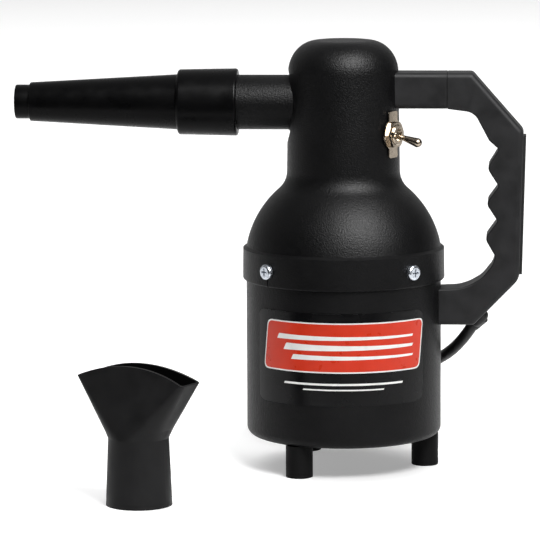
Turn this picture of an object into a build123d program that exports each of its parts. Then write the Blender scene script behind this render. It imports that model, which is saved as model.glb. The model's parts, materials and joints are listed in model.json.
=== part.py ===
from build123d import *
import math
import os

# Car dryer blower, in millimetres. Z is up, the floor under the feet is Z = 0, and the origin lies on the
# vertical axis of the body. The outlet pipe points to -X, the handle to +X and the label to -Y.

# ---- Driving dimensions -------------------------------------------------------------------------------
CAN_RADIUS = 57.15
SHEET = 1.5
CAN_BOTTOM = 18.8
CAN_TOP = 128.0
CAN_CORNER = 4.8
COLLAR_RADIUS = 59.0
COLLAR_BOTTOM = 111.2
COLLAR_TOP = 129.4
SCREW_HEIGHT = 120.2
DOME_RADIUS = 58.0
DOME_CENTRE = 120.0
NECK_RADIUS = 33.1
NECK_TOP_RADIUS = 32.2
NECK_FILLET = 14.0
BODY_TOP = 250.8
SHOULDER_WIDTH = 17.0
SHOULDER_HEIGHT = 18.8
SHELL = 1.6
FIT = 0.05

PIPE_RADIUS = 16.0
PIPE_WALL = 1.6
PIPE_HEIGHT = 214.5
PIPE_END = -97.0
PIPE_SEAT = -30.6
PIPE_BEAD = 1.0

GRIP_THICKNESS = 21.5
GRIP_SEAM = 61.0
SEAM_BEVEL = 0.5
GRIP_TOP = 232.5
GRIP_UNDERSIDE = 212.2
GRIP_BASE = 84.6
GRIP_BASE_TOP = 105.2

SWITCH_ANGLE = -28.5
SWITCH_HEIGHT = 197.3
LEVER_TILT = 14.0
LEVER_LENGTH = 15.9

SCREW_TURNS = (45, 135, -45, -135)
SCREW_HOLE = 2.1
SPACER_SCREWS = ((5.5, 222.3), (-5.5, 222.3))
BASE_SCREWS = ((6.5, 96.5), (-6.5, 96.5))
TAPPED_HOLE = 1.95

FOOT_RADIUS = 7.9
FOOT_CIRCLE = 47.8
FOOT_ANGLES = {"foot_right": 0, "foot_front": -120, "foot_rear": 120}
FOOT_ROUND = 0.45
STUD_RADIUS = 1.95
STUD_BOTTOM = 13.0

CORD_RADIUS = 3.4
COIL_CENTRE = (-5.7, 112.0)
COIL_MEAN_RADIUS = 37.0
COIL_SIDE = 27.0
COIL_LIFT = 1.5

FLARE_CENTRE = (-108.8, -122.6)
FLARE_TURN = -30.0

os.makedirs("parts", exist_ok=True)


def save(part, name):
    """Labels a finished piece and writes it as its own file."""
    part.label = name
    export_step(part, f"parts/{name}.step")


def outline(plane, corners, rounds=None):
    """A closed outline of straight sides on a plane, with the numbered corners rounded."""
    with BuildSketch(plane) as drawing:
        with BuildLine():
            Polyline(*corners, close=True)
        make_face()
        for number, radius in (rounds or {}).items():
            fillet(drawing.vertices().sort_by_distance(corners[number])[0], radius)
    return drawing.sketch


def ring(outer, inner, bottom, top, chamfered=0.0):
    """An upright ring about the body's axis."""
    with BuildPart() as made:
        with BuildSketch(Plane.XY.offset(bottom)):
            Circle(outer)
            if inner:
                Circle(inner, mode=Mode.SUBTRACT)
        extrude(amount=top - bottom)
        if chamfered:
            chamfer(made.edges().filter_by(GeomType.CIRCLE).group_by(Axis.Z)[-1], chamfered)
    return made.part


def rounded_path(points):
    """Straight runs with each corner rounded to 0.45 of its shorter run."""
    spots = [Vector(*point) for point in points]
    radii = []
    for before, corner, after in zip(spots, spots[1:], spots[2:]):
        runs = (corner - before, after - corner)
        half_turn = math.radians(runs[0].get_angle(runs[1])) / 2
        radii.append(0.45 * min(run.length for run in runs) / math.tan(half_turn))
    with BuildLine() as path:
        FilletPolyline(*spots, radius=radii)
    return path.wire(), radii


def tube_along(points, radius):
    """A round cord or wire along rounded_path."""
    path, radii = rounded_path(points)
    with BuildPart() as made:
        with BuildSketch(Plane(origin=path @ 0, z_dir=path % 0)):
            Circle(radius)
        sweep(path=path)
    return made.part, path, radii


# ---- Outer forms, used to trim whatever seats on the housings -------------------------------------------
with BuildPart() as can_form:
    corners = [(0, CAN_BOTTOM), (CAN_RADIUS, CAN_BOTTOM), (CAN_RADIUS, CAN_TOP), (0, CAN_TOP)]
    revolve(outline(Plane.XZ, corners, {1: CAN_CORNER}), axis=Axis.Z)

fillet_centre_x = NECK_RADIUS + NECK_FILLET
fillet_centre_z = DOME_CENTRE + math.sqrt((DOME_RADIUS + NECK_FILLET) ** 2 - fillet_centre_x**2)
dome_end = math.atan2(fillet_centre_z - DOME_CENTRE, fillet_centre_x)


def polar(centre_x, centre_z, radius, angle):
    """A point in the XZ plane at an angle, in radians, about a centre."""
    return (centre_x + radius * math.cos(angle), centre_z + radius * math.sin(angle))


def upper_profile(inset, collar_radius, collar_top, dome_start, bottom):
    """Half the upper housing's outline, moved inwards by inset above its collar."""
    dome = DOME_RADIUS - inset
    sweep_radius = NECK_FILLET + inset
    start = (math.sqrt(dome**2 - (dome_start - DOME_CENTRE) ** 2), dome_start)
    start_angle = math.atan2(dome_start - DOME_CENTRE, start[0])
    middle = polar(0, DOME_CENTRE, dome, (start_angle + dome_end) / 2)
    tangent = polar(0, DOME_CENTRE, dome, dome_end)
    fillet_middle = polar(
        fillet_centre_x, fillet_centre_z, sweep_radius, math.pi + dome_end / 2
    )
    neck_foot = (fillet_centre_x - sweep_radius, fillet_centre_z)
    top = BODY_TOP - inset
    neck_head = (NECK_TOP_RADIUS - inset, BODY_TOP - SHOULDER_HEIGHT)
    with BuildSketch(Plane.XZ) as drawing:
        with BuildLine():
            foot = (collar_radius + 0.2, bottom)
            Polyline((0, top), (0, bottom), foot, (collar_radius, collar_top), start)
            ThreePointArc(start, middle, tangent)
            ThreePointArc(tangent, fillet_middle, neck_foot)
            Line(neck_foot, neck_head)
            EllipticalCenterArc(
                (neck_head[0] - SHOULDER_WIDTH + inset, neck_head[1]),
                SHOULDER_WIDTH - inset,
                SHOULDER_HEIGHT - inset,
                start_angle=0,
                arc_size=90,
            )
            Line((neck_head[0] - SHOULDER_WIDTH + inset, top), (0, top))
        make_face()
    return drawing.sketch


with BuildPart() as upper_form:
    revolve(upper_profile(0, COLLAR_RADIUS, COLLAR_TOP, 130.8, COLLAR_BOTTOM), axis=Axis.Z)

# ---- Lower housing: a can with a slotted air intake in its base ------------------------------------------
SUPPLY_HEIGHT = 92.0
with BuildPart() as lower_housing:
    add(can_form.part)
    inner = CAN_RADIUS - SHEET
    corners = [(0, CAN_BOTTOM + SHEET), (inner, CAN_BOTTOM + SHEET), (inner, CAN_TOP + 1), (0, CAN_TOP + 1)]
    revolve(outline(Plane.XZ, corners, {1: CAN_CORNER - SHEET}), axis=Axis.Z, mode=Mode.SUBTRACT)
    with BuildSketch(Plane.XY.offset(CAN_BOTTOM)):
        Circle(4.5)
        with PolarLocations(12, 6):
            SlotOverall(9, 3.6)
        with PolarLocations(23, 12):
            SlotOverall(9, 3.6)
        with PolarLocations(FOOT_CIRCLE, 3):
            Circle(SCREW_HOLE)
    extrude(amount=SHEET + 0.1, mode=Mode.SUBTRACT)
    with BuildSketch(Plane.YZ.offset(50)):
        with Locations((0, SUPPLY_HEIGHT)):
            Circle(4.2)
        with Locations(*BASE_SCREWS):
            Circle(TAPPED_HOLE + FIT)
    extrude(amount=10, mode=Mode.SUBTRACT)
    for turn in SCREW_TURNS:
        with BuildSketch(Plane(origin=(0, 0, SCREW_HEIGHT), z_dir=Vector(1, 0, 0).rotate(Axis.Z, turn))):
            Circle(SCREW_HOLE)
        extrude(amount=CAN_RADIUS + 1, mode=Mode.SUBTRACT)

# ---- Upper housing: collar, dome and neck in one shell ---------------------------------------------------
switch_out = Vector(1, 0, 0).rotate(Axis.Z, SWITCH_ANGLE)
pad = 3.2
SEAT_MIDDLE = 213.9
SEAT_HEIGHT = 32.0
SEAT_DEPTH = 6.0
SEAT_RUN = 20.0
with BuildPart() as upper_cavity:
    revolve(upper_profile(SHELL, CAN_RADIUS + FIT, CAN_TOP + 0.3, 129.4, COLLAR_BOTTOM - 1), axis=Axis.Z)
    with BuildSketch(Plane.YZ.offset(PIPE_SEAT + pad)):
        with Locations((0, PIPE_HEIGHT)):
            Rectangle(80, 52)
    extrude(amount=-40, mode=Mode.SUBTRACT)
    with BuildSketch(Plane.YZ.offset(NECK_TOP_RADIUS - SHELL - 1.2)):
        with Locations((0, (GRIP_TOP + GRIP_UNDERSIDE) / 2)):
            Rectangle(19, 16)
    extrude(amount=40, mode=Mode.SUBTRACT)

with BuildPart() as upper_housing:
    add(upper_form.part)
    fillet(upper_housing.edges().filter_by(GeomType.CIRCLE).sort_by(Axis.Z)[0], 1.0)
    for distance, tall in ((PIPE_SEAT, SEAT_HEIGHT), (PIPE_SEAT - SEAT_DEPTH, SEAT_HEIGHT + 2 * SEAT_RUN)):
        with BuildSketch(Plane.YZ.offset(distance)):
            with Locations((0, SEAT_MIDDLE)):
                Rectangle(80, tall)
    loft(mode=Mode.SUBTRACT)
    add(upper_cavity.part, mode=Mode.SUBTRACT)
    with BuildSketch(Plane.YZ.offset(-50)):
        with Locations((0, PIPE_HEIGHT)):
            Circle(PIPE_RADIUS)
    extrude(amount=32, mode=Mode.SUBTRACT)
    for turn in SCREW_TURNS:
        with BuildSketch(Plane(origin=(0, 0, SCREW_HEIGHT), z_dir=Vector(1, 0, 0).rotate(Axis.Z, turn))):
            Circle(SCREW_HOLE)
        extrude(amount=COLLAR_RADIUS + 2, mode=Mode.SUBTRACT)
    with BuildSketch(Plane(origin=(0, 0, SWITCH_HEIGHT), z_dir=switch_out)):
        Circle(6.0)
    extrude(amount=NECK_RADIUS + 4, mode=Mode.SUBTRACT)
    with BuildSketch(Plane.YZ.offset(20)):
        with Locations(*SPACER_SCREWS):
            Circle(TAPPED_HOLE + FIT)
    extrude(amount=20, mode=Mode.SUBTRACT)
    slit_out = Vector(1, 0, 0).rotate(Axis.Z, -135)
    with BuildSketch(Plane(origin=(0, 0, SCREW_HEIGHT), x_dir=(0, 0, 1), z_dir=slit_out)):
        with Locations((-5, 0)):
            Rectangle(10, 0.9)
    extrude(amount=COLLAR_RADIUS + 2, mode=Mode.SUBTRACT)

# ---- Screws that hold the two housings together, with their clip nuts -----------------------------------
with BuildPart() as housing_screws:
    for turn in SCREW_TURNS:
        out = Vector(1, 0, 0).rotate(Axis.Z, turn)
        seat = Plane(origin=out * (COLLAR_RADIUS + 0.16) + Vector(0, 0, SCREW_HEIGHT), z_dir=out)
        with BuildSketch(seat):
            Circle(4.5)
        extrude(amount=2.7)
        with BuildSketch(seat):
            Circle(2.0)
        extrude(amount=-8.5)
    domed = housing_screws.edges().filter_by(GeomType.CIRCLE)
    fillet([edge for edge in domed if math.hypot(edge.center().X, edge.center().Y) > 61], 1.5)
    for turn in SCREW_TURNS:
        out = Vector(1, 0, 0).rotate(Axis.Z, turn)
        with BuildSketch(Plane(origin=out * (COLLAR_RADIUS + 1.3) + Vector(0, 0, SCREW_HEIGHT), z_dir=out)):
            Rectangle(4.6, 0.9)
            Rectangle(0.9, 4.6)
        extrude(amount=3, mode=Mode.SUBTRACT)

with BuildPart() as clip_nuts:
    for turn in SCREW_TURNS:
        out = Vector(1, 0, 0).rotate(Axis.Z, turn)
        with BuildSketch(Plane(origin=out * 52.6 + Vector(0, 0, SCREW_HEIGHT), z_dir=out)):
            RectangleRounded(11, 11, 1.5)
            Circle(2.05, mode=Mode.SUBTRACT)
        extrude(amount=1.6)

# ---- Label: a thin decal wrapped round the front of the can ----------------------------------------------
LABEL_BOTTOM = 44.3
LABEL_TOP = 98.1
LABEL_HALF_ANGLE = 55.4
half_width = (CAN_RADIUS + 0.3) * math.sin(math.radians(LABEL_HALF_ANGLE))
with BuildPart() as label:
    add(ring(CAN_RADIUS + 0.3, CAN_RADIUS, LABEL_BOTTOM, LABEL_TOP))
    with BuildSketch(Plane.XZ.offset(20)):
        with Locations((0, (LABEL_BOTTOM + LABEL_TOP) / 2)):
            RectangleRounded(2 * half_width, LABEL_TOP - LABEL_BOTTOM, 4)
    extrude(amount=50, mode=Mode.INTERSECT)

# ---- Outlet pipe -----------------------------------------------------------------------------------------
pipe_line = Axis((0, 0, PIPE_HEIGHT), (-1, 0, 0))


def pipe_outline(corners, rounds=None):
    """An outline of (distance along the outlet, radius) corners above the pipe's axis."""
    raised = [(x, PIPE_HEIGHT + radius) for x, radius in corners]
    return outline(Plane.XZ, raised, rounds)


with BuildPart() as outlet_pipe:
    bore = PIPE_RADIUS - PIPE_WALL
    corners = [
        (PIPE_SEAT + pad + 1.0, bore),
        (PIPE_END, bore),
        (PIPE_END, PIPE_RADIUS),
        (PIPE_SEAT - PIPE_BEAD, PIPE_RADIUS),
        (PIPE_SEAT - PIPE_BEAD, PIPE_RADIUS + PIPE_BEAD / 2),
        (PIPE_SEAT, PIPE_RADIUS + PIPE_BEAD / 2),
        (PIPE_SEAT, PIPE_RADIUS),
        (PIPE_SEAT + pad + 1.0, PIPE_RADIUS),
    ]
    revolve(pipe_outline(corners), axis=pipe_line)

# ---- Cone nozzle: pushes over the pipe ------------------------------------------------------------------
COUPLING_END = -61.7
CONE_START = -96.8
CONE_END = -184.0
NOZZLE_TIP = -192.6
TIP_BORE = 7.6
with BuildPart() as cone_nozzle:
    corners = [
        (COUPLING_END, PIPE_RADIUS + FIT),
        (COUPLING_END, 19.7),
        (CONE_START, 19.05),
        (CONE_START, 16.2),
        (CONE_END, 11.35),
        (CONE_END, 10.0),
        (NOZZLE_TIP, 10.0),
        (NOZZLE_TIP, TIP_BORE),
        (CONE_END, TIP_BORE),
        (PIPE_END - 3.0, 13.2),
        (PIPE_END - 0.3, 13.2),
        (PIPE_END - 0.3, PIPE_RADIUS + FIT),
    ]
    rounds = {1: 1.4, 2: 1.6, 3: 0.8, 4: 0.5, 5: 0.4, 6: 0.7}
    revolve(pipe_outline(corners, rounds), axis=pipe_line)

# ---- Flare nozzle: the flat spare nozzle, standing on its socket -----------------------------------------
FLARE_NECK = 38.3
FLARE_FLANK = 43.5
MOUTH_CORNER = 71.0
MOUTH_TOP = 79.0
FLARE_WALL = 1.7
SOCKET_DEPTH = 30.0
LOFT_TOP = 83.5
MOUTH_WIDE = 73.4
MOUTH_DEEP = 18.6
FLANK_WIDE = 38.0
FLANK_DEEP = 31.6
arch = ((MOUTH_WIDE / 2) ** 2 + (MOUTH_TOP - MOUTH_CORNER) ** 2) / (2 * (MOUTH_TOP - MOUTH_CORNER))


def flare_form(base_radius, neck_radius, thinner, start):
    """The nozzle's solid form: a round socket that flattens into a fan, less by a given thickness."""
    flank_wide, flank_deep, wide, deep = (
        size - 2 * thinner for size in (FLANK_WIDE, FLANK_DEEP, MOUTH_WIDE, MOUTH_DEEP)
    )
    beyond = (LOFT_TOP - MOUTH_CORNER) / (MOUTH_CORNER - FLARE_FLANK)
    sections = (
        (FLARE_NECK, 2 * neck_radius, 2 * neck_radius, neck_radius - 0.1),
        (FLARE_FLANK, flank_wide, flank_deep, 13.0 - thinner),
        (MOUTH_CORNER, wide, deep, 3.2 - thinner),
        (LOFT_TOP, wide + (wide - flank_wide) * beyond, deep + (deep - flank_deep) * beyond, 1.2),
    )
    with BuildPart() as form:
        with BuildSketch(Plane.XY.offset(start)):
            Circle(base_radius)
        with BuildSketch(Plane.XY.offset(FLARE_NECK)):
            Circle(neck_radius)
        loft()
        for lower, upper in zip(sections, sections[1:]):
            for height, across, depth, corner in (lower, upper):
                with BuildSketch(Plane.XY.offset(height)):
                    RectangleRounded(across, depth, corner)
            loft()
    return form.part


flare_outside = flare_form(18.7, 17.1, 0, 0)
flare_inside = flare_form(PIPE_RADIUS + FIT, 17.1 - FLARE_WALL, FLARE_WALL, SOCKET_DEPTH)
with BuildPart() as flare_upright:
    add(flare_outside)
    with BuildSketch(Plane.XZ.offset(-30)):
        with Locations((0, MOUTH_TOP - arch)):
            Circle(arch)
    extrude(amount=60, mode=Mode.INTERSECT)
    add(flare_inside, mode=Mode.SUBTRACT)
    with BuildSketch(Plane.XY):
        Circle(PIPE_RADIUS + FIT)
    extrude(amount=SOCKET_DEPTH, mode=Mode.SUBTRACT)
flare_nozzle = Pos(FLARE_CENTRE[0], FLARE_CENTRE[1], 0) * Rot(0, 0, FLARE_TURN) * flare_upright.part

# ---- Strain relief and power cord ------------------------------------------------------------------------
RELIEF_RADIUS = 5.8
RELIEF_DOME = 3.2
relief_head = Vector(79.8, 0, 87.3)
cord_route = [(75.6, 2.5, 82.6), (67.5, 10, 68.5), (48, 46, 51.5), (20, 70, 32), (-14, 65, 24.5)]
plug_route = [(-42, 100, 20), (-32, 132, 36), (-3, 147.6, 39.9)]
power_cord, cord_path, cord_radii = tube_along(cord_route, CORD_RADIUS)
plug_lead, lead_path, lead_radii = tube_along(plug_route, CORD_RADIUS)
print("cord radii", [round(radius, 1) for radius in cord_radii + lead_radii])
for made, path in ((power_cord, cord_path), (plug_lead, lead_path)):
    expected = math.pi * CORD_RADIUS**2 * path.length
    print("cord length", round(path.length, 1), "volume", round(made.volume), "expected", round(expected))

with BuildPart() as strain_relief:
    with BuildSketch(Plane(origin=relief_head, z_dir=(1, 0, -1))) as head:
        Circle(RELIEF_RADIUS)
    extrude(amount=RELIEF_DOME)
    extrude(head.sketch, amount=-3.6)
    rim = strain_relief.edges().filter_by(GeomType.CIRCLE).sort_by(Axis(relief_head, (1, 0, -1)))[-1]
    fillet(rim, RELIEF_DOME - 0.3)
    way = (cord_path @ 0 - relief_head).normalized()
    with BuildSketch(Plane(origin=relief_head - way * 2, z_dir=way)):
        Circle(RELIEF_RADIUS - 1.2)
    with BuildSketch(Plane(origin=cord_path @ 0, z_dir=cord_path % 0)):
        Circle(CORD_RADIUS + 0.6)
    loft()

# ---- Handle: grip, spacer and back strip -----------------------------------------------------------------
half_grip = GRIP_THICKNESS / 2
finger_notches = [(90.8, 188.2), (90.8, 166.6), (90.2, 146.2), (88.9, 125.5)]
finger_bumps = [(84.0, 177.2), (83.4, 156.6), (82.8, 136.0)]
fingers = [finger_notches[0]]
for bump, notch in zip(finger_bumps, finger_notches[1:]):
    fingers += [bump, notch]
grip_corners = [
    (40, GRIP_BASE),
    (76.5, GRIP_BASE),
    (103.0, 111.8),
    (105.2, 198.6),
    (75.5, GRIP_TOP),
    (GRIP_SEAM, GRIP_TOP),
    (GRIP_SEAM, GRIP_UNDERSIDE - 0.6),
    (76.5, 209.6),
    (85.2, 193.2),
    *fingers,
    (87.2, 120.2),
    (81.2, 112.6),
    (70.5, 106.4),
    (40, GRIP_BASE_TOP),
]
first_finger = 9
grip_rounds = {1: 3.0, 2: 9.5, 3: 5.0, 4: 3.5, 7: 9.0, 8: 6.0}
for number in range(7):
    grip_rounds[first_finger + number] = 1.4 if number % 2 == 0 else 4.6
grip_rounds |= {16: 8.0, 17: 14.0, 18: 26.0}
with BuildPart() as grip_blank:
    extrude(outline(Plane.XZ.offset(-half_grip), grip_corners, grip_rounds), amount=GRIP_THICKNESS)
    rims = [edge for edge in grip_blank.faces().filter_by(Axis.Y).edges() if edge.center().X > 50]
    rims = [edge for edge in rims if abs(edge.center().X - GRIP_SEAM) > 0.1]
    outer_rims = [edge for edge in rims if edge.center().X > 92 or not GRIP_BASE + 5 < edge.center().Z < 215]
    fillet(outer_rims, 3.0)

with BuildPart() as handle_grip:
    add(grip_blank.part)
    rims = [edge for edge in handle_grip.faces().filter_by(Axis.Y).edges() if 50 < edge.center().X < 92]
    rims = [edge for edge in rims if abs(edge.center().X - GRIP_SEAM) > 0.1]
    inner_rims = [edge for edge in rims if GRIP_BASE_TOP - 1 < edge.center().Z < GRIP_UNDERSIDE + 1]
    fillet(inner_rims, 1.0)
    add(can_form.part, mode=Mode.SUBTRACT)
    add(strain_relief.part, mode=Mode.SUBTRACT)
    slot_corners = [(101.6, 114.2), (110, 114.2), (110, 195.8), (103.5, 195.8)]
    extrude(outline(Plane.XZ.offset(-6.5), slot_corners), amount=13, mode=Mode.SUBTRACT)
    with BuildSketch(Plane.YZ.offset(50)):
        with Locations((0, SUPPLY_HEIGHT)):
            Circle(4.2)
    extrude(amount=27.5, mode=Mode.SUBTRACT)
    with BuildSketch(Plane.YZ.offset(50)):
        with Locations(*BASE_SCREWS):
            Circle(TAPPED_HOLE)
    extrude(amount=19, mode=Mode.SUBTRACT)
    with BuildSketch(Plane.YZ.offset(GRIP_SEAM)):
        with Locations(*SPACER_SCREWS):
            Circle(TAPPED_HOLE)
    extrude(amount=9, mode=Mode.SUBTRACT)

with BuildPart() as handle_spacer:
    with BuildSketch(Plane.YZ.offset(25)):
        with Locations((0, (GRIP_TOP + GRIP_UNDERSIDE - 0.6) / 2)):
            RectangleRounded(GRIP_THICKNESS, GRIP_TOP - GRIP_UNDERSIDE + 0.6, 2.9)
    extrude(amount=GRIP_SEAM - 25)
    chamfer(handle_spacer.faces().sort_by(Axis.X)[-1].edges(), SEAM_BEVEL)
    add(upper_form.part, mode=Mode.SUBTRACT)
    with BuildSketch(Plane.YZ.offset(25)):
        with Locations(*SPACER_SCREWS):
            Circle(TAPPED_HOLE)
    extrude(amount=40, mode=Mode.SUBTRACT)

with BuildPart() as handle_back_strip:
    strip_corners = [(101.7, 114.4), (104.6, 114.4), (106.7, 195.6), (103.6, 195.6)]
    extrude(outline(Plane.XZ.offset(-6.4), strip_corners), amount=12.8)

with BuildPart() as handle_screws:
    for spot in SPACER_SCREWS:
        with BuildSketch(Plane.YZ.offset(NECK_TOP_RADIUS - SHELL - 1.2)):
            with Locations(spot):
                Circle(3.6)
        extrude(amount=-2.4)
        with BuildSketch(Plane.YZ.offset(NECK_TOP_RADIUS - SHELL - 1.2)):
            with Locations(spot):
                Circle(1.9)
        extrude(amount=40)
    for spot in BASE_SCREWS:
        with BuildSketch(Plane.YZ.offset(54.6)):
            with Locations(spot):
                Circle(3.4)
        extrude(amount=-1.6)
        with BuildSketch(Plane.YZ.offset(54.6)):
            with Locations(spot):
                Circle(1.9)
        extrude(amount=13)

# ---- Switch ----------------------------------------------------------------------------------------------
switch_centre = Vector(0, 0, SWITCH_HEIGHT)
switch_side = Vector(0, 1, 0).rotate(Axis.Z, SWITCH_ANGLE)


def switch_plane(distance):
    """A plane square to the switch's axis: local X runs sideways, local Y runs up."""
    return Plane(origin=switch_centre + switch_out * distance, x_dir=switch_side, z_dir=switch_out)


BODY_FACE = 29.6
PLATE_BACK = 33.15
PLATE_THICK = 0.9
PLATE_WIDE = 9.3
PLATE_DISC = 9.3
NUT_THICK = 2.6
NUT_CORNER = 7.5
BUSH_RADIUS = 5.95
BUSH_BORE = 2.65
BUSH_END = 37.6
PIVOT = 34.6
LEVER_BALL = 2.75
with BuildPart() as switch_body:
    with BuildSketch(switch_plane(BODY_FACE)):
        RectangleRounded(14, 27, 1.2)
    extrude(amount=-19)

with BuildPart() as switch_bushing:
    with BuildSketch(switch_plane(BODY_FACE)):
        Circle(BUSH_RADIUS)
    extrude(amount=BUSH_END - BODY_FACE)
    circles = switch_bushing.edges().filter_by(GeomType.CIRCLE)
    chamfer(circles.sort_by(Axis(switch_centre, switch_out))[-1], 0.5)
    with BuildSketch(switch_plane(BODY_FACE + 1.6)):
        Circle(BUSH_BORE)
    extrude(amount=BUSH_END - BODY_FACE, mode=Mode.SUBTRACT)
    with BuildSketch(switch_plane(PIVOT + 1.0)):
        Circle(BUSH_BORE)
    with BuildSketch(switch_plane(BUSH_END)):
        Circle(BUSH_BORE + 1.1)
    loft(mode=Mode.SUBTRACT)

with BuildPart() as switch_plate:
    with BuildSketch(switch_plane(PLATE_BACK)):
        RectangleRounded(PLATE_WIDE, 27, 1.6)
        Circle(PLATE_DISC)
        Circle(BUSH_RADIUS + FIT, mode=Mode.SUBTRACT)
    extrude(amount=PLATE_THICK)

with BuildPart() as switch_nut:
    nut_back = PLATE_BACK + PLATE_THICK
    with BuildSketch(switch_plane(nut_back)):
        RegularPolygon(8.2, 6)
    extrude(amount=NUT_THICK)
    with BuildSketch(switch_plane(nut_back)):
        Circle(NUT_CORNER + NUT_THICK)
    with BuildSketch(switch_plane(nut_back + NUT_THICK)):
        Circle(NUT_CORNER)
    loft(mode=Mode.INTERSECT)
    with BuildSketch(switch_plane(nut_back)):
        Circle(BUSH_RADIUS + FIT)
    extrude(amount=NUT_THICK, mode=Mode.SUBTRACT)

lever_out = switch_out.rotate(Axis(switch_centre, switch_side), LEVER_TILT)
lever_start = switch_centre + switch_out * PIVOT


def lever_plane(distance):
    """A plane square to the lever."""
    return Plane(origin=lever_start + lever_out * distance, x_dir=switch_side, z_dir=lever_out)


with BuildPart() as toggle_lever:
    for near, far, near_radius, far_radius in ((0, 5, 1.35, 1.4), (5, LEVER_LENGTH, 1.4, LEVER_BALL)):
        with BuildSketch(lever_plane(near)):
            Circle(near_radius)
        with BuildSketch(lever_plane(far)):
            Circle(far_radius)
        loft()
    with Locations(lever_plane(0)):
        Sphere(BUSH_BORE - 0.1)
    with Locations(lever_plane(LEVER_LENGTH)):
        Sphere(LEVER_BALL)

with BuildPart() as switch_terminals:
    for height in (-8, 8):
        with BuildSketch(switch_plane(BODY_FACE - 19)):
            with Locations((0, height)):
                Rectangle(6.3, 0.8)
        extrude(amount=-7)

# ---- Motor and two-stage fan -----------------------------------------------------------------------------
SHAFT_RADIUS = 4.0
with BuildPart() as motor_shaft:
    add(ring(SHAFT_RADIUS, 0, 32.0, 157.0))

with BuildPart() as shaft_nut:
    with BuildSketch(Plane.XY.offset(33.5)):
        RegularPolygon(7.4, 6)
        Circle(SHAFT_RADIUS, mode=Mode.SUBTRACT)
    extrude(amount=4)


def impeller(bottom, height):
    """A closed fan wheel: two discs with curved blades between them and a hub."""
    with BuildPart() as wheel:
        add(ring(46, 19, bottom, bottom + 1.2))
        add(ring(46, SHAFT_RADIUS, bottom + height - 1.2, bottom + height))
        add(ring(9, SHAFT_RADIUS, bottom + height - 6, bottom + height))
        with BuildSketch(Plane.XY.offset(bottom + 1.2)):
            with BuildLine():
                blade = ThreePointArc((20, 0), (33, 6), (45.5, 2))
                offset(blade, 0.6, side=Side.BOTH)
            make_face()
        extrude(amount=height - 2.4)
        for number in range(1, 8):
            with BuildSketch(Plane.XY.offset(bottom + 1.2).rotated((0, 0, number * 45))):
                with BuildLine():
                    blade = ThreePointArc((20, 0), (33, 6), (45.5, 2))
                    offset(blade, 0.6, side=Side.BOTH)
                make_face()
            extrude(amount=height - 2.4)
    return wheel.part


impeller_lower = impeller(37.5, 9)
impeller_upper = impeller(58, 9)

with BuildPart() as impeller_spacer:
    add(ring(7, SHAFT_RADIUS, 46.5, 61.0))

with BuildPart() as fan_shroud:
    add(ring(52, 0, 30, 72))
    add(ring(50.8, 0, 31.2, 72), mode=Mode.SUBTRACT)
    add(ring(20, 0, 29, 32), mode=Mode.SUBTRACT)

with BuildPart() as fan_diffuser:
    add(ring(50.75, 12, 54.5, 55.7))
    for number in range(8):
        with BuildSketch(Plane.XY.offset(48.5).rotated((0, 0, number * 45))):
            with Locations((33, 0)):
                Rectangle(32, 1.2, rotation=14)
        extrude(amount=6)

with BuildPart() as motor_fan_bracket:
    add(ring(52, 11, 72, 75))
    add(ring(15, 11, 75, 83))
    with BuildSketch(Plane.XY.offset(72)):
        with PolarLocations(31, 6, start_angle=30):
            SlotOverall(16, 12)
        with Locations((36, 0), (-36, 0)):
            Circle(2.05)
    extrude(amount=3, mode=Mode.SUBTRACT)

with BuildPart() as bearing_lower:
    add(ring(11, SHAFT_RADIUS + FIT, 76, 83))

with BuildPart() as armature_core:
    add(ring(24, SHAFT_RADIUS, 92, 122))
    with BuildSketch(Plane.XY.offset(92)):
        with PolarLocations(22.5, 12):
            Rectangle(4, 2)
    extrude(amount=30, mode=Mode.SUBTRACT)

with BuildPart() as armature_windings:
    add(ring(21, SHAFT_RADIUS, 86, 92))
    add(ring(21, SHAFT_RADIUS, 122, 129, chamfered=3))

with BuildPart() as commutator:
    add(ring(13, SHAFT_RADIUS, 131, 147))
    with BuildSketch(Plane.XY.offset(131)):
        with PolarLocations(13, 24):
            Rectangle(1.2, 0.5)
    extrude(amount=16, mode=Mode.SUBTRACT)

with BuildPart() as stator_core:
    add(ring(41, 24.6, 90, 124))
    with BuildSketch(Plane.XY.offset(90)):
        with Locations((36, 0), (-36, 0)):
            Circle(2.05)
    extrude(amount=34, mode=Mode.SUBTRACT)

with BuildPart() as field_coils:
    for turn in (90, 270):
        for bottom, top in ((84, 90), (124, 131)):
            with BuildSketch(Plane.XY.offset(bottom)):
                with BuildLine():
                    CenterArc((0, 0), 38, turn - 60, 120)
                    CenterArc((0, 0), 27, turn - 60, 120)
                    for end in (turn - 60, turn + 60):
                        direction = Vector(1, 0, 0).rotate(Axis.Z, end)
                        Line(direction * 27, direction * 38)
                make_face()
            extrude(amount=top - bottom)

with BuildPart() as motor_brush_bracket:
    with BuildSketch(Plane.XY.offset(149)):
        RectangleRounded(82, 14, 3)
        Circle(15)
    extrude(amount=3)
    for side in (-1, 1):
        with BuildSketch(Plane.XY.offset(124)):
            with Locations((side * 36, 0)):
                Rectangle(8, 12)
        extrude(amount=25)
    add(ring(14, 11, 152, 158))
    with BuildSketch(Plane.XY.offset(120)):
        Circle(11)
        with Locations((36, 0), (-36, 0)):
            Circle(2.05)
    extrude(amount=40, mode=Mode.SUBTRACT)

with BuildPart() as bearing_upper:
    add(ring(11, SHAFT_RADIUS + FIT, 149, 156))

with BuildPart() as motor_through_bolts:
    for side in (-1, 1):
        for radius, bottom, top in ((4, 69, 72), (2, 72, 152), (4, 152, 155)):
            with BuildSketch(Plane.XY.offset(bottom)):
                with Locations((side * 36, 0)):
                    Circle(radius)
            extrude(amount=top - bottom)

with BuildPart() as motor_gasket:
    add(ring(42, 30, CAN_BOTTOM + SHEET, 30))

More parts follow.
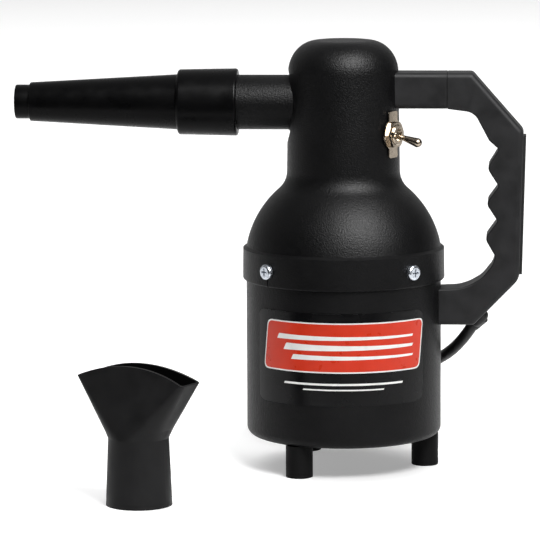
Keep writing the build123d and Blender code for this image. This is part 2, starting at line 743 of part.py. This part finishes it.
with BuildPart() as motor_cushion:
    add(ring(CAN_RADIUS - SHEET - 0.02, 48, 75, 84))
    with BuildSketch(Plane.XY.offset(75)):
        with Locations((54, 0)):
            Rectangle(8, 9)
    extrude(amount=9, mode=Mode.SUBTRACT)

# ---- Brushes, holders and springs, one set each side of the commutator -----------------------------------
brush_parts = {}
for word, side in (("left", -1), ("right", 1)):
    with BuildPart() as holder:
        with BuildSketch(Plane.XZ.offset(-side * 15)):
            with Locations((0, 139.5)):
                Rectangle(9, 12)
                Rectangle(6.4, 9.4, mode=Mode.SUBTRACT)
        extrude(amount=-side * 20)
    with BuildPart() as brush:
        with BuildSketch(Plane.XZ.offset(-side * 13.05)):
            with Locations((0, 139.5)):
                Rectangle(6.2, 9.2)
        extrude(amount=-side * 14)
    brush_parts[f"brush_holder_{word}"] = holder.part
    brush_parts[f"brush_{word}"] = brush.part

with BuildPart() as brush_springs:
    for side in (-1, 1):
        for turn_number in range(5):
            with BuildSketch(Plane.XZ.offset(-side * (27.05 + 1.4 * turn_number))):
                with Locations((0, 139.5)):
                    Circle(2.8)
                    Circle(2.0, mode=Mode.SUBTRACT)
            extrude(amount=-side * 0.8)
            if turn_number < 4:
                with BuildSketch(Plane.XZ.offset(-side * (27.05 + 1.4 * turn_number + 0.8))):
                    with Locations((0, 141.9)):
                        Rectangle(1.0, 0.7)
                extrude(amount=-side * 0.6)

# ---- Intake filter and its screen -------------------------------------------------------------------------
with BuildPart() as intake_filter:
    add(ring(29.5, 0, CAN_BOTTOM + SHEET, 26))

with BuildPart() as filter_screen:
    add(ring(29.5, 0, 26, 26.8))
    with BuildSketch(Plane.XY.offset(26)):
        Circle(1.6)
        for circle, count in ((5.5, 6), (11, 12), (16.5, 18), (22, 24)):
            with PolarLocations(circle, count):
                Circle(1.6)
    extrude(amount=0.8, mode=Mode.SUBTRACT)

# ---- Feet and the studs bonded into them -----------------------------------------------------------------
feet = {}
for name, turn in FOOT_ANGLES.items():
    spot = Vector(FOOT_CIRCLE, 0, 0).rotate(Axis.Z, turn)
    with BuildPart() as foot:
        with BuildSketch(Plane(origin=(spot.X, spot.Y, 0))):
            Circle(FOOT_RADIUS)
        extrude(amount=CAN_BOTTOM)
        fillet(foot.edges().filter_by(GeomType.CIRCLE).sort_by(Axis.Z)[0], FOOT_ROUND)
        with BuildSketch(Plane(origin=(spot.X, spot.Y, STUD_BOTTOM))):
            Circle(STUD_RADIUS)
        extrude(amount=CAN_BOTTOM, mode=Mode.SUBTRACT)
    feet[name] = foot.part

with BuildPart() as foot_studs:
    nut_bottom = CAN_BOTTOM + SHEET
    for turn in FOOT_ANGLES.values():
        spot = Vector(FOOT_CIRCLE, 0, 0).rotate(Axis.Z, turn)
        for radius, bottom, top in ((STUD_RADIUS, STUD_BOTTOM, 26), (3.6, nut_bottom, nut_bottom + 3)):
            with BuildSketch(Plane(origin=(spot.X, spot.Y, bottom))):
                Circle(radius)
            extrude(amount=top - bottom)

# ---- Coil of the put-away cord, its tie and the plug -----------------------------------------------------
coil_axis = Axis((COIL_CENTRE[0], COIL_CENTRE[1], 0), (0, 0, 1))
with BuildPart() as cord_coil:
    with BuildSketch(Plane.XZ.offset(-COIL_CENTRE[1])):
        with Locations((COIL_CENTRE[0] + COIL_MEAN_RADIUS, COIL_LIFT + COIL_SIDE / 2)):
            RectangleRounded(COIL_SIDE, COIL_SIDE, 6)
    revolve(axis=coil_axis)

TIE_ARC = 26.0
with BuildPart() as cord_tie:
    with BuildSketch(Plane.XZ.offset(-COIL_CENTRE[1])):
        with Locations((COIL_CENTRE[0] + COIL_MEAN_RADIUS, COIL_LIFT + COIL_SIDE / 2)):
            RectangleRounded(COIL_SIDE + 2.6, COIL_SIDE + 2.6, 7)
            RectangleRounded(COIL_SIDE + 0.1, COIL_SIDE + 0.1, 6, mode=Mode.SUBTRACT)
    revolve(axis=coil_axis, revolution_arc=TIE_ARC)

lead_end = lead_path @ 1
lead_way = lead_path % 1
plug_up = Vector(0, 0, 1) - lead_way * lead_way.Z
plug_side = plug_up.cross(lead_way)


def plug_plane(distance):
    """A plane square to the plug, distance from the end of its lead."""
    return Plane(origin=lead_end + lead_way * distance, x_dir=plug_side, z_dir=lead_way)


with BuildPart() as plug_body:
    with BuildSketch(plug_plane(0)):
        Circle(5.2)
    with BuildSketch(plug_plane(12)):
        RectangleRounded(20, 18, 5)
    loft()
    with BuildSketch(plug_plane(12)):
        RectangleRounded(20, 18, 5)
    with BuildSketch(plug_plane(34)):
        RectangleRounded(25, 21, 4)
    loft()

with BuildPart() as plug_blades:
    for side in (-6.35, 6.35):
        with BuildSketch(plug_plane(34)):
            with Locations((side, 2)):
                Rectangle(1.5, 6.3)
        extrude(amount=16.5)
    with BuildSketch(plug_plane(34)):
        with Locations((0, -6.5)):
            Circle(2.4)
    extrude(amount=18.5)

# ---- Wires inside the handle and the body ----------------------------------------------------------------
WIRE_RADIUS = 1.1
wires = []
for side in (-1, 1):
    route = [
        (76.0, 1.6 * side, SUPPLY_HEIGHT + 1.2),
        (61.5, 1.5 * side, SUPPLY_HEIGHT),
        (53.9, 1.5 * side, SUPPLY_HEIGHT),
        (53.9, 1.6 * side, 136),
        (38, 1.6 * side, 160),
        (20, 1.6 * side, 172),
        (5, -2, 187.5) if side < 0 else (2.5, 4.5, 184),
    ]
    if side > 0:
        route.append((1.6, 0.4, 204.3))
    wires.append(tube_along(route, WIRE_RADIUS)[0])
supply_wires = Compound(children=wires)

wires = []
for side in (-1, 1):
    route = [(4, -3 + 3.5 * side, 181), (1, 20 * side, 168), (0, 31 * side, 158), (0, 31 * side, 145.6)]
    wires.append(tube_along(route, WIRE_RADIUS)[0])
motor_wires = Compound(children=wires)

# ---- Files -----------------------------------------------------------------------------------------------
pieces = {
    "lower_housing": lower_housing.part,
    "upper_housing": upper_housing.part,
    "housing_screws": housing_screws.part,
    "clip_nuts": clip_nuts.part,
    "label": label.part,
    "outlet_pipe": outlet_pipe.part,
    "cone_nozzle": cone_nozzle.part,
    "flare_nozzle": flare_nozzle,
    "handle_grip": handle_grip.part,
    "handle_spacer": handle_spacer.part,
    "handle_back_strip": handle_back_strip.part,
    "handle_screws": handle_screws.part,
    "switch_body": switch_body.part,
    "switch_bushing": switch_bushing.part,
    "switch_plate": switch_plate.part,
    "switch_nut": switch_nut.part,
    "toggle_lever": toggle_lever.part,
    "switch_terminals": switch_terminals.part,
    "motor_shaft": motor_shaft.part,
    "shaft_nut": shaft_nut.part,
    "impeller_lower": impeller_lower,
    "impeller_upper": impeller_upper,
    "impeller_spacer": impeller_spacer.part,
    "fan_shroud": fan_shroud.part,
    "fan_diffuser": fan_diffuser.part,
    "motor_fan_bracket": motor_fan_bracket.part,
    "bearing_lower": bearing_lower.part,
    "armature_core": armature_core.part,
    "armature_windings": armature_windings.part,
    "commutator": commutator.part,
    "stator_core": stator_core.part,
    "field_coils": field_coils.part,
    "motor_brush_bracket": motor_brush_bracket.part,
    "bearing_upper": bearing_upper.part,
    "motor_through_bolts": motor_through_bolts.part,
    "motor_gasket": motor_gasket.part,
    "motor_cushion": motor_cushion.part,
    "brush_springs": brush_springs.part,
    "intake_filter": intake_filter.part,
    "filter_screen": filter_screen.part,
    "foot_studs": foot_studs.part,
    "strain_relief": strain_relief.part,
    "power_cord": power_cord,
    "cord_coil": cord_coil.part,
    "cord_tie": cord_tie.part,
    "plug_lead": plug_lead,
    "plug_body": plug_body.part,
    "plug_blades": plug_blades.part,
    "supply_wires": supply_wires,
    "motor_wires": motor_wires,
    **brush_parts,
    **feet,
}
for name, part in pieces.items():
    save(part, name)
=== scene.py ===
import json
import math
import bmesh
import bpy
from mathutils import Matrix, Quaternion, Vector


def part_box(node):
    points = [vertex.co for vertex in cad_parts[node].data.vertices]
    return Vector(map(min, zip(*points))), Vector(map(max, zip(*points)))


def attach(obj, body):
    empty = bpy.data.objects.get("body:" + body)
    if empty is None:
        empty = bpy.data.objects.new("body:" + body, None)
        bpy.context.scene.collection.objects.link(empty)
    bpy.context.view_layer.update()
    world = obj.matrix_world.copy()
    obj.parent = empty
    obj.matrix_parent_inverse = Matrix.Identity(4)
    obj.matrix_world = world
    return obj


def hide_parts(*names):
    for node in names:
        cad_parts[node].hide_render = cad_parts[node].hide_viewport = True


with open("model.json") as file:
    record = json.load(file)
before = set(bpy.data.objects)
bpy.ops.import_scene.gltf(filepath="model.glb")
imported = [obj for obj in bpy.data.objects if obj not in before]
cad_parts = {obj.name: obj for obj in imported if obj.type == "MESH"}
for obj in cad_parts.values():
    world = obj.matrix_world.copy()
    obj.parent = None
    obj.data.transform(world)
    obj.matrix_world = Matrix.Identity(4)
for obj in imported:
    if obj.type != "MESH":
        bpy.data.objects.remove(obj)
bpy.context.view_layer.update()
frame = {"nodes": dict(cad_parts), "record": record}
record = frame["record"]
NODES = frame["nodes"]


# ---- Camera ----------------------------------------------------------------------------------------------
CAMERA_PLACE = Vector((0.1095, -2.1069, 0.4223))
CAMERA_AIM = Vector((-0.0432, -0.0032, 0.1157))
CAMERA_ROLL = -0.00506
CAMERA_LENS = 241.7


def add_camera():
    """The photograph's viewing angle, from a little above and with a long lens."""
    data = bpy.data.cameras.new("camera")
    data.lens = CAMERA_LENS
    data.sensor_width = 36
    camera = bpy.data.objects.new("camera", data)
    bpy.context.collection.objects.link(camera)
    camera.location = CAMERA_PLACE
    aimed = (CAMERA_AIM - CAMERA_PLACE).to_track_quat("-Z", "Y")
    camera.rotation_euler = (aimed @ Quaternion((0, 0, 1), CAMERA_ROLL)).to_euler()
    bpy.context.scene.camera = camera


add_camera()


# ---- Node trees ------------------------------------------------------------------------------------------
class Finish:
    """A procedural material: its tree, its Principled shader and short calls for the nodes finishes share."""

    def __init__(self, name, colour, roughness, **sockets):
        self.material = bpy.data.materials.new(name)
        self.material.use_nodes = True
        self.tree = self.material.node_tree
        self.shader = self.tree.nodes["Principled BSDF"]
        self.shader.inputs["Base Color"].default_value = (*colour, 1)
        self.shader.inputs["Roughness"].default_value = roughness
        for label, value in sockets.items():
            self.shader.inputs[label.replace("_", " ")].default_value = value
        self.place = self.node("ShaderNodeTexCoord").outputs["Object"]

    def node(self, kind, **settings):
        made = self.tree.nodes.new(kind)
        for name, value in settings.items():
            setattr(made, name, value)
        return made

    def link(self, value, socket):
        """Puts a number or another node's output into a socket."""
        if isinstance(value, (int, float, tuple)):
            socket.default_value = value
        else:
            self.tree.links.new(value, socket)

    def maths(self, operation, first, second=0.0, third=0.0):
        made = self.node("ShaderNodeMath", operation=operation)
        for socket, value in zip(made.inputs, (first, second, third)):
            self.link(value, socket)
        return made.outputs[0]

    def stretched(self, factors):
        """Object coordinates stretched along an axis, for brushed or moulded streaks."""
        made = self.node("ShaderNodeMapping")
        made.inputs["Scale"].default_value = factors
        self.link(self.place, made.inputs["Vector"])
        return made.outputs[0]

    def noise(self, grain, detail=3.0, rough=0.5, place=None):
        """Noise whose features are about one grain across, in metres."""
        made = self.node("ShaderNodeTexNoise")
        made.inputs["Scale"].default_value = 1 / grain
        made.inputs["Detail"].default_value = detail
        made.inputs["Roughness"].default_value = rough
        self.link(place or self.place, made.inputs["Vector"])
        return made.outputs["Fac"]

    def cells(self, grain, feature="F1", place=None):
        made = self.node("ShaderNodeTexVoronoi", feature=feature)
        made.inputs["Scale"].default_value = 1 / grain
        self.link(place or self.place, made.inputs["Vector"])
        return made.outputs["Distance"]

    def remap(self, value, low, high, to_low=0.0, to_high=1.0):
        made = self.node("ShaderNodeMapRange")
        for socket, number in zip(made.inputs, (value, low, high, to_low, to_high)):
            self.link(number, socket)
        return made.outputs[0]

    def blend(self, share, first, second):
        """A colour between two, by share."""
        made = self.node("ShaderNodeMix", data_type="RGBA")
        self.link(share, made.inputs["Factor"])
        for socket, colour in (("A_Color", first), ("B_Color", second)):
            found = next(entry for entry in made.inputs if entry.identifier == socket)
            self.link((*colour, 1) if isinstance(colour, tuple) else colour, found)
        return next(entry for entry in made.outputs if entry.identifier == "Result_Color")

    def colour(self, value):
        self.link(value, self.shader.inputs["Base Color"])

    def roughness(self, value, low, high, smooth, rough):
        """Roughness that follows a value."""
        self.link(self.remap(value, low, high, smooth, rough), self.shader.inputs["Roughness"])

    def bump(self, *layers):
        """Bump from (height, depth in metres) layers, one after the other."""
        normal = None
        for height, depth in layers:
            made = self.node("ShaderNodeBump")
            made.inputs["Distance"].default_value = depth
            self.link(height, made.inputs["Height"])
            if normal:
                self.link(normal, made.inputs["Normal"])
            normal = made.outputs["Normal"]
        self.link(normal, self.shader.inputs["Normal"])
        return self


def textured_paint():
    """Satin black powder coat with a fine orange-peel grain."""
    made = Finish("textured_paint", (0.004, 0.004, 0.0045), 0.42, Specular_IOR_Level=0.1)
    cloud = made.noise(0.03, 2)
    made.colour(made.blend(made.remap(cloud, 0.35, 0.65), (0.0032, 0.0032, 0.0035), (0.0055, 0.0055, 0.0058)))
    grain = made.noise(0.0008, 2, 0.6)
    made.roughness(grain, 0.3, 0.7, 0.33, 0.5)
    made.bump((grain, 0.0002), (made.noise(0.0016, 2), 0.00009))
    return made.material


def moulded_plastic(name, colour, roughness, grain_depth=0.00001, gloss=0.3):
    """Moulded plastic with a faint grain, dull patches and fine scuffs."""
    made = Finish(name, colour, roughness, Specular_IOR_Level=gloss)
    patches = made.noise(0.012, 4, 0.6)
    lighter = tuple(1.5 * channel for channel in colour)
    made.colour(made.blend(made.remap(patches, 0.35, 0.7), colour, lighter))
    made.roughness(patches, 0.3, 0.7, roughness - 0.07, roughness + 0.1)
    scuffs = made.noise(0.0016, 3, 0.6, made.stretched((1, 1, 0.25)))
    made.bump((made.noise(0.0004, 2), grain_depth), (scuffs, grain_depth))
    return made.material


def rubber(name, colour, roughness, gloss=0.3):
    """Dark rubber: soft blotches, fine dust specks and a slightly uneven skin."""
    made = Finish(name, colour, roughness, Specular_IOR_Level=gloss)
    specks = made.remap(made.cells(0.004), 0.03, 0.05, 1.0, 0.0)
    dust = made.maths("MULTIPLY", specks, made.remap(made.noise(0.02), 0.5, 0.7))
    pale = tuple(channel + 0.05 for channel in colour)
    made.colour(made.blend(made.maths("MULTIPLY", dust, 0.7), colour, pale))
    made.roughness(made.noise(0.01, 3), 0.3, 0.7, roughness - 0.06, roughness + 0.08)
    made.bump((made.noise(0.0012, 3), 0.000012), (made.noise(0.01, 2), 0.00004))
    return made.material


def metal(name, colour, roughness, streak=(1, 1, 1), depth=0.000004):
    """Plated or bare metal with fine tool marks and small changes of tone."""
    made = Finish(name, colour, roughness, Metallic=1.0)
    marks = made.noise(0.0005, 3, 0.6, made.stretched(streak))
    tone = made.noise(0.003, 3)
    dark = tuple(0.72 * channel for channel in colour)
    made.colour(made.blend(made.remap(tone, 0.3, 0.7), dark, colour))
    made.roughness(marks, 0.3, 0.7, max(0.05, roughness - 0.08), roughness + 0.12)
    made.bump((marks, depth))
    return made.material


def decal_sheet():
    """The clear-coated black base of the decal."""
    made = Finish("decal_black", (0.002, 0.002, 0.0023), 0.28, Specular_IOR_Level=0.16)
    cloud = made.noise(0.02, 3)
    made.roughness(cloud, 0.3, 0.7, 0.22, 0.34)
    made.colour(made.blend(cloud, (0.0015, 0.0015, 0.0018), (0.003, 0.003, 0.0034)))
    made.bump((made.noise(0.003, 3), 0.00001))
    return made.material


def print_ink(name, colour):
    """Gloss printing ink with a slightly uneven lay."""
    made = Finish(name, colour, 0.3, Specular_IOR_Level=0.3)
    mottle = made.noise(0.006, 4)
    darker = tuple(0.93 * channel for channel in colour)
    made.colour(made.blend(made.remap(mottle, 0.3, 0.7), darker, colour))
    made.roughness(mottle, 0.3, 0.7, 0.26, 0.38)
    made.bump((made.noise(0.003, 3), 0.000006))
    return made.material


def copper():
    """Enamelled winding wire, wound in fine turns."""
    made = Finish("winding", (0.45, 0.17, 0.07), 0.3, Metallic=0.9)
    wave = made.node("ShaderNodeTexWave", wave_type="BANDS", bands_direction="Z")
    wave.inputs["Scale"].default_value = 300
    wave.inputs["Distortion"].default_value = 1.5
    made.link(made.place, wave.inputs["Vector"])
    made.colour(made.blend(wave.outputs["Fac"], (0.2, 0.07, 0.03), (0.6, 0.25, 0.11)))
    made.bump((wave.outputs["Fac"], 0.0002))
    return made.material


def laminations():
    """Stacked motor laminations under varnish."""
    made = Finish("laminations", (0.2, 0.2, 0.21), 0.45, Metallic=0.9)
    wave = made.node("ShaderNodeTexWave", wave_type="BANDS", bands_direction="Z")
    wave.inputs["Scale"].default_value = 320
    made.link(made.place, wave.inputs["Vector"])
    made.colour(made.blend(wave.outputs["Fac"], (0.08, 0.08, 0.085), (0.24, 0.24, 0.25)))
    made.roughness(made.noise(0.004), 0.3, 0.7, 0.35, 0.6)
    made.bump((wave.outputs["Fac"], 0.00012))
    return made.material


def foam():
    """Open-cell filter foam."""
    made = Finish("foam", (0.03, 0.03, 0.033), 0.95)
    cells = made.cells(0.0011)
    made.colour(made.blend(made.remap(cells, 0.1, 0.6), (0.008, 0.008, 0.009), (0.05, 0.05, 0.054)))
    made.bump((cells, 0.0006))
    return made.material


def webbing():
    """Black woven tape with its weave a little under a millimetre."""
    made = Finish("webbing", (0.012, 0.012, 0.013), 0.85, Sheen_Weight=0.3)
    bands = []
    for direction in ("X", "Z"):
        wave = made.node("ShaderNodeTexWave", wave_type="BANDS", bands_direction=direction)
        wave.inputs["Scale"].default_value = 380
        made.link(made.place, wave.inputs["Vector"])
        bands.append(wave.outputs["Fac"])
    weave = made.maths("MULTIPLY", *bands)
    made.colour(made.blend(weave, (0.006, 0.006, 0.007), (0.028, 0.028, 0.03)))
    made.bump((weave, 0.0002))
    return made.material


FINISHES = {
    "black_textured_paint": textured_paint(),
    "black_moulded_plastic": moulded_plastic("moulded_plastic", (0.0115, 0.0115, 0.0122), 0.5, gloss=0.15),
    "strip_plastic": moulded_plastic("strip_plastic", (0.007, 0.007, 0.007), 0.55, gloss=0.2),
    "nozzle_rubber": rubber("nozzle_rubber", (0.0024, 0.0024, 0.0026), 0.3, 0.06),
    "flare_plastic": moulded_plastic("flare_plastic", (0.0055, 0.0055, 0.0058), 0.5, gloss=0.14),
    "foot_rubber": rubber("foot_rubber", (0.0025, 0.0025, 0.0026), 0.6, 0.08),
    "cord_jacket": rubber("cord_jacket", (0.006, 0.006, 0.0065), 0.45),
    "tie_fabric": webbing(),
    "decal": decal_sheet(),
    "zinc_plated_steel": metal("zinc_plate", (0.62, 0.66, 0.72), 0.25),
    "nickel_plate": metal("nickel_plate", (0.42, 0.355, 0.28), 0.17),
    "brass": metal("brass", (0.75, 0.55, 0.25), 0.25, (1, 1, 0.1)),
    "sheet_steel": metal("sheet_steel", (0.55, 0.56, 0.57), 0.35, (0.1, 1, 1)),
    "aluminium_sheet": metal("aluminium", (0.78, 0.79, 0.8), 0.3),
    "bearing_steel": metal("bearing_steel", (0.6, 0.61, 0.63), 0.18),
    "lamination_steel": laminations(),
    "copper_winding": copper(),
    "carbon": moulded_plastic("carbon", (0.03, 0.03, 0.03), 0.6),
    "filter_foam": foam(),
    "wire_insulation": moulded_plastic("wire_insulation", (0.05, 0.05, 0.05), 0.4),
}


def finish_cad_nodes():
    """Every CAD node takes the finish of its own material slot."""
    for part in record["subparts"]:
        mesh = NODES[part["node"]].data
        mesh.materials.clear()
        mesh.materials.append(FINISHES[part["material_slot"]])


finish_cad_nodes()


# ---- Cord ------------------------------------------------------------------------------------------------
CORD_DIAMETER = 0.0068
# The route from the strain relief to the coil, and a wider climb out of the coil than the CAD's plug lead.
CORD_START = [
    (0.0756, 0.0025, 0.0826), (0.0675, 0.0100, 0.0685), (0.0480, 0.0460, 0.0515),
    (0.0200, 0.0700, 0.0320), (-0.0140, 0.0650, 0.0245),
]
CORD_END = [
    (-0.0282, 0.0964, 0.0203), (-0.0327, 0.1055, 0.0243), (-0.0342, 0.1162, 0.0290),
    (-0.0320, 0.1270, 0.0332), (-0.0246, 0.1364, 0.0367), (-0.0134, 0.1427, 0.0389),
    (-0.0030, 0.1476, 0.0399),
]
COIL_OUTER = 0.0472
COIL_BOTTOM = 0.0049
COLUMN_STEP = 0.0067
ROW_STEP = 0.0068
# Each turn's lane: columns inwards from the outermost, rows upwards from the lowest.
COIL_LANES = [(0, 3), (0, 2), (0, 1), (0, 0), (1, 0), (1, 1), (1, 2), (1, 3), (2, 3), (2, 2), (2, 1), (2, 0),
              (3, 0), (3, 1), (3, 2)]
TURN_POINTS = 16


def smooth_step(value):
    value = min(1.0, max(0.0, value))
    return value * value * (3 - 2 * value)


def coil_points():
    """Turn upon turn, clockwise: each steps to the next lane as it comes round from the right to the can."""
    low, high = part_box("cord_coil")
    centre = (low + high) / 2
    start_angle, change, ramp = 240, 240, 70
    outward = 1 / (0.75 + 0.25 * math.cos(math.tau / TURN_POINTS))
    points = []
    for step in range(TURN_POINTS * (len(COIL_LANES) - 1) + 1):
        travelled = step * 360 / TURN_POINTS
        column, row = (float(number) for number in COIL_LANES[0])
        for number, (before, after) in enumerate(zip(COIL_LANES, COIL_LANES[1:])):
            share = smooth_step((travelled - change - 360 * number) / ramp)
            column += share * (after[0] - before[0])
            row += share * (after[1] - before[1])
        radius = (COIL_OUTER - column * COLUMN_STEP) * outward
        height = COIL_BOTTOM + row * ROW_STEP
        angle = math.radians(start_angle - travelled)
        points.append((centre.x + radius * math.cos(angle), centre.y + radius * math.sin(angle), height))
    return points


def add_cord():
    """The whole flex as one smooth line: out of the strain relief, into the coil and up to the plug."""
    points = CORD_START + coil_points() + CORD_END
    data = bpy.data.curves.new("power_flex", "CURVE")
    data.dimensions = "3D"
    data.bevel_depth = CORD_DIAMETER / 2
    data.bevel_resolution = 5
    data.resolution_u = 6
    data.use_fill_caps = True
    spline = data.splines.new("NURBS")
    spline.points.add(len(points) - 1)
    for place, point in zip(points, spline.points):
        point.co = (*place, 1)
    spline.order_u = 3
    spline.use_endpoint_u = True
    flex = bpy.data.objects.new("power_flex", data)
    bpy.context.collection.objects.link(flex)
    data.materials.append(FINISHES["cord_jacket"])
    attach(flex, "body")
    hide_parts("power_cord", "cord_coil", "plug_lead")


add_cord()


# ---- Printing on the label -------------------------------------------------------------------------------
LABEL_RADIUS = 0.05745
PRINT_LAYER = 0.00005
PRINT_SLICE = 0.0011
PRINT_CENTRE = math.radians(-87.3)
STRIPE_RIGHT = 0.044


def slanted_bar(left, right, bottom, top, slant=0.12, taper=0.0, corner=0.0):
    """The corners of a bar leaning to the right, narrowing towards its right end, with rounded corners."""
    middle = (bottom + top) / 2
    corners = []
    for side, edge in ((left, bottom), (right, bottom), (right, top), (left, top)):
        height = edge + (middle - edge) * (taper if side == right else 0.0)
        corners.append(Vector((side + slant * (height - middle), height)))
    if not corner:
        return corners
    rounded = []
    for number, spot in enumerate(corners):
        before, after = corners[number - 1], corners[(number + 1) % 4]
        start = spot + (before - spot).normalized() * corner
        end = spot + (after - spot).normalized() * corner
        for step in range(7):
            share = step / 6
            rounded.append((1 - share) ** 2 * start + 2 * share * (1 - share) * spot + share**2 * end)
    return rounded


def slice_heights(corners, along):
    """Where an upright line crosses a bar's outline."""
    heights = []
    for first, second in zip(corners, corners[1:] + corners[:1]):
        if min(first.x, second.x) <= along <= max(first.x, second.x) and first.x != second.x:
            share = (along - first.x) / (second.x - first.x)
            heights.append(first.y + share * (second.y - first.y))
    return min(heights), max(heights)


def print_bar(name, corners, layer, ink):
    """A thin bar of ink wrapped on the label, as a closed skin."""
    low, high = min(spot.x for spot in corners), max(spot.x for spot in corners)
    count = max(6, round((high - low) / PRINT_SLICE))
    inner, outer = LABEL_RADIUS - PRINT_LAYER, LABEL_RADIUS + PRINT_LAYER * layer
    mesh = bmesh.new()
    rings = []
    for step in range(count + 1):
        along = low + (high - low) * (0.5 - 0.5 * math.cos(math.pi * step / count))
        bottom, top = slice_heights(corners, min(high - 1e-6, max(low + 1e-6, along)))
        angle = PRINT_CENTRE + along / LABEL_RADIUS
        ring = []
        for radius, height in ((inner, bottom), (outer, bottom), (outer, top), (inner, top)):
            ring.append(mesh.verts.new((radius * math.cos(angle), radius * math.sin(angle), height)))
        rings.append(ring)
    for before, after in zip(rings, rings[1:]):
        for side in range(4):
            follower = (side + 1) % 4
            mesh.faces.new((before[side], after[side], after[follower], before[follower]))
    mesh.faces.new(rings[0])
    mesh.faces.new(rings[-1][::-1])
    bmesh.ops.recalc_face_normals(mesh, faces=mesh.faces)
    data = bpy.data.meshes.new(name)
    mesh.to_mesh(data)
    mesh.free()
    data.materials.append(ink)
    made = bpy.data.objects.new(name, data)
    bpy.context.collection.objects.link(made)
    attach(made, "body")


def add_label_print():
    """A plain red panel edged in white, with streaming stripes on it and two thin rules below."""
    red = print_ink("red_ink", (0.60, 0.032, 0.008))
    white = print_ink("white_ink", (0.82, 0.82, 0.8))
    print_bar("print_edge", slanted_bar(-0.0515, 0.0515, 0.0636, 0.0928, corner=0.004), 1, white)
    print_bar("print_panel", slanted_bar(-0.0507, 0.0507, 0.0644, 0.0920, corner=0.0036), 2, red)
    stripes = ((-0.041, 0.0838, 0.0030), (-0.036, 0.0782, 0.0040), (-0.031, 0.0724, 0.0030))
    for number, (left, height, thick) in enumerate(stripes):
        bar = slanted_bar(left, STRIPE_RIGHT, height - thick / 2, height + thick / 2, slant=0.5, taper=0.6)
        print_bar(f"print_stripe_{number + 1}", bar, 3, white)
    print_bar("print_rule_1", slanted_bar(-0.0365, 0.0365, 0.0564, 0.0576, slant=0.5), 1, white)
    print_bar("print_rule_2", slanted_bar(-0.0240, 0.0240, 0.0534, 0.0542, slant=0.5), 1, white)


add_label_print()


# ---- Floor and light -------------------------------------------------------------------------------------
FLOOR_WIDTH = 9
FLOOR_BACK = 5.04
FLOOR_SPLIT = -0.36
FLOOR_FRONT = -5.0
# The world is brightest in this direction, and brightens between these two closenesses to it.
WORLD_TOWARDS = Vector((-0.25, 0.72, 0.62))
WORLD_DIM_AT, WORLD_BRIGHT_AT = 0.12, 0.85
WORLD_DIM, WORLD_BRIGHT = 0.015, 0.5
LIT_MIDDLE = (0, 0, 0.12)


def add_floor():
    """A white floor in two parts; the front one is kept out of reflections and bounced light."""
    made = Finish("studio_floor", (0.86, 0.86, 0.86), 0.7, Emission_Strength=0.34, Specular_IOR_Level=0.1)
    made.shader.inputs["Emission Color"].default_value = (1, 1, 1, 1)
    made.roughness(made.noise(0.1), 0.3, 0.7, 0.6, 0.8)
    parts = (("studio_floor", FLOOR_SPLIT, FLOOR_BACK), ("studio_floor_front", FLOOR_FRONT, FLOOR_SPLIT))
    for name, front, back in parts:
        bpy.ops.mesh.primitive_plane_add(size=1)
        floor = bpy.context.object
        floor.name = name
        floor.scale = (FLOOR_WIDTH, back - front, 1)
        floor.location = (0, (front + back) / 2, 0)
        floor.visible_glossy = floor.visible_diffuse = name == "studio_floor"
        floor.data.materials.append(made.material)


def add_softbox(name, place, aim, size, power, mirrored=True, lit=True):
    """A soft light; one not mirrored gives no highlights, and one not lit gives nothing but highlights."""
    data = bpy.data.lights.new(name, "AREA")
    data.shape = "RECTANGLE"
    data.size, data.size_y = size
    data.energy = power
    light = bpy.data.objects.new(name, data)
    bpy.context.collection.objects.link(light)
    light.location = place
    light.rotation_euler = (Vector(aim) - Vector(place)).to_track_quat("-Z", "Y").to_euler()
    light.visible_glossy = mirrored
    light.visible_diffuse = lit


def add_world():
    """Bright above, behind and to the left, dim in front, as in a white sweep in a dark room."""
    world = bpy.data.worlds.new("studio")
    bpy.context.scene.world = world
    world.use_nodes = True
    nodes, links = world.node_tree.nodes, world.node_tree.links
    towards = nodes.new("ShaderNodeVectorMath")
    towards.operation = "DOT_PRODUCT"
    links.new(nodes.new("ShaderNodeTexCoord").outputs["Generated"], towards.inputs[0])
    towards.inputs[1].default_value = WORLD_TOWARDS.normalized()
    bright = nodes.new("ShaderNodeMapRange")
    bright.interpolation_type = "SMOOTHSTEP"
    for socket, number in zip(bright.inputs[1:], (WORLD_DIM_AT, WORLD_BRIGHT_AT, WORLD_DIM, WORLD_BRIGHT)):
        socket.default_value = number
    links.new(towards.outputs["Value"], bright.inputs[0])
    nodes["Background"].inputs["Color"].default_value = (1, 1, 1, 1)
    links.new(bright.outputs[0], nodes["Background"].inputs["Strength"])


add_floor()
add_world()
add_softbox("key_softbox", (0.42, -0.80, 1.15), LIT_MIDDLE, (0.5, 0.5), 17, mirrored=False)
add_softbox("gloss_softbox", (0.44, -0.80, 1.10), LIT_MIDDLE, (0.9, 0.8), 74, lit=False)
add_softbox("floor_softbox", (-0.2, 1.5, 2.6), (0, 1.3, 0), (4, 3.6), 85, mirrored=False)
bpy.context.scene.view_settings.view_transform = "Standard"
